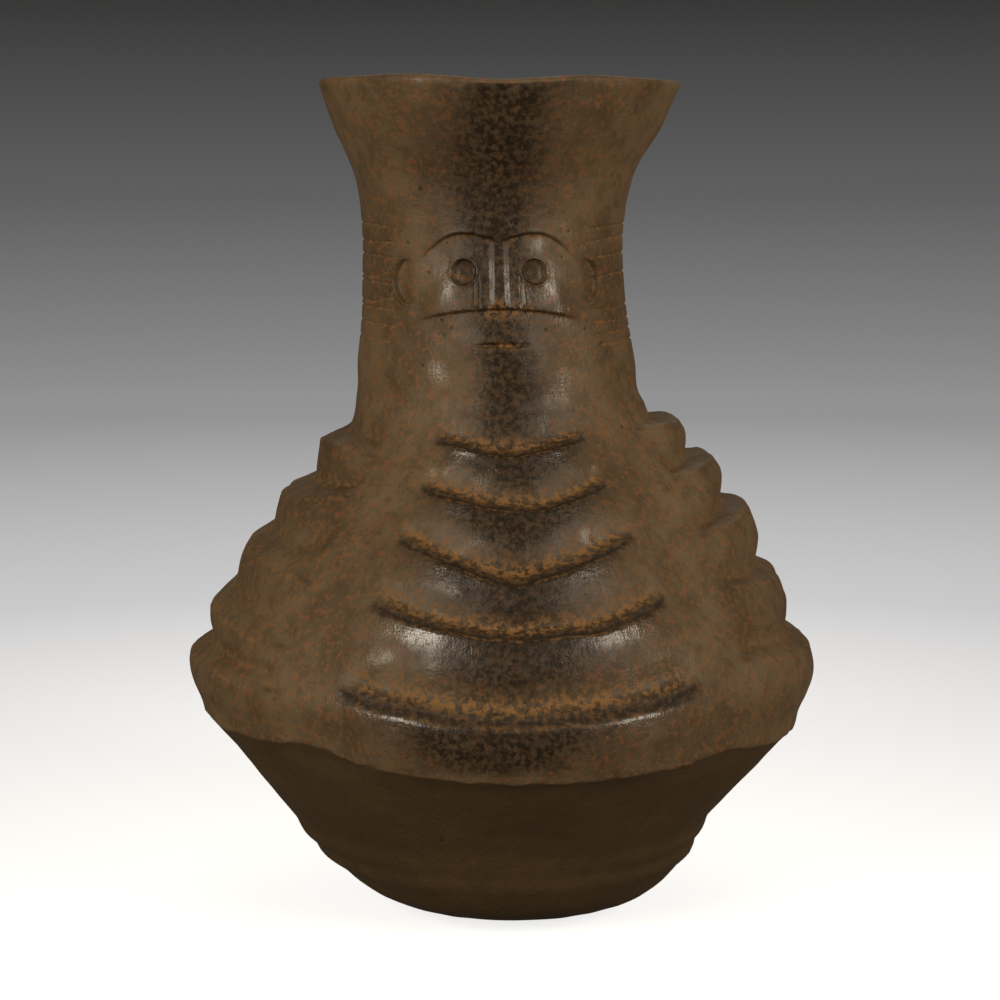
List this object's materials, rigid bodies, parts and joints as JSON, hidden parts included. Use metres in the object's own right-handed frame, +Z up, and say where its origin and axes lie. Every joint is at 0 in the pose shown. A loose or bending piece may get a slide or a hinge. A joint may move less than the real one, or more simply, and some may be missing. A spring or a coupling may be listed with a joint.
{
  "type": "ceremonial pot",
  "caption": "Hollow hand-built clay pot with a sharp belly edge, stair-like ribs in four panels on the shoulder and a flaring neck with a simple carved face",
  "frame": {"origin": "on the flat foot, straight under the middle of the belly", "axes": "+Z up, the face looks along -Y, +X is the viewer's right"},
  "size_m": [0.3393, 0.3353, 0.4515],
  "materials": {
    "burnished_clay": "burnished, dark patina"
  },
  "bodies": {
    "root": {"pot": "burnished_clay"}
  },
  "joints": []
}
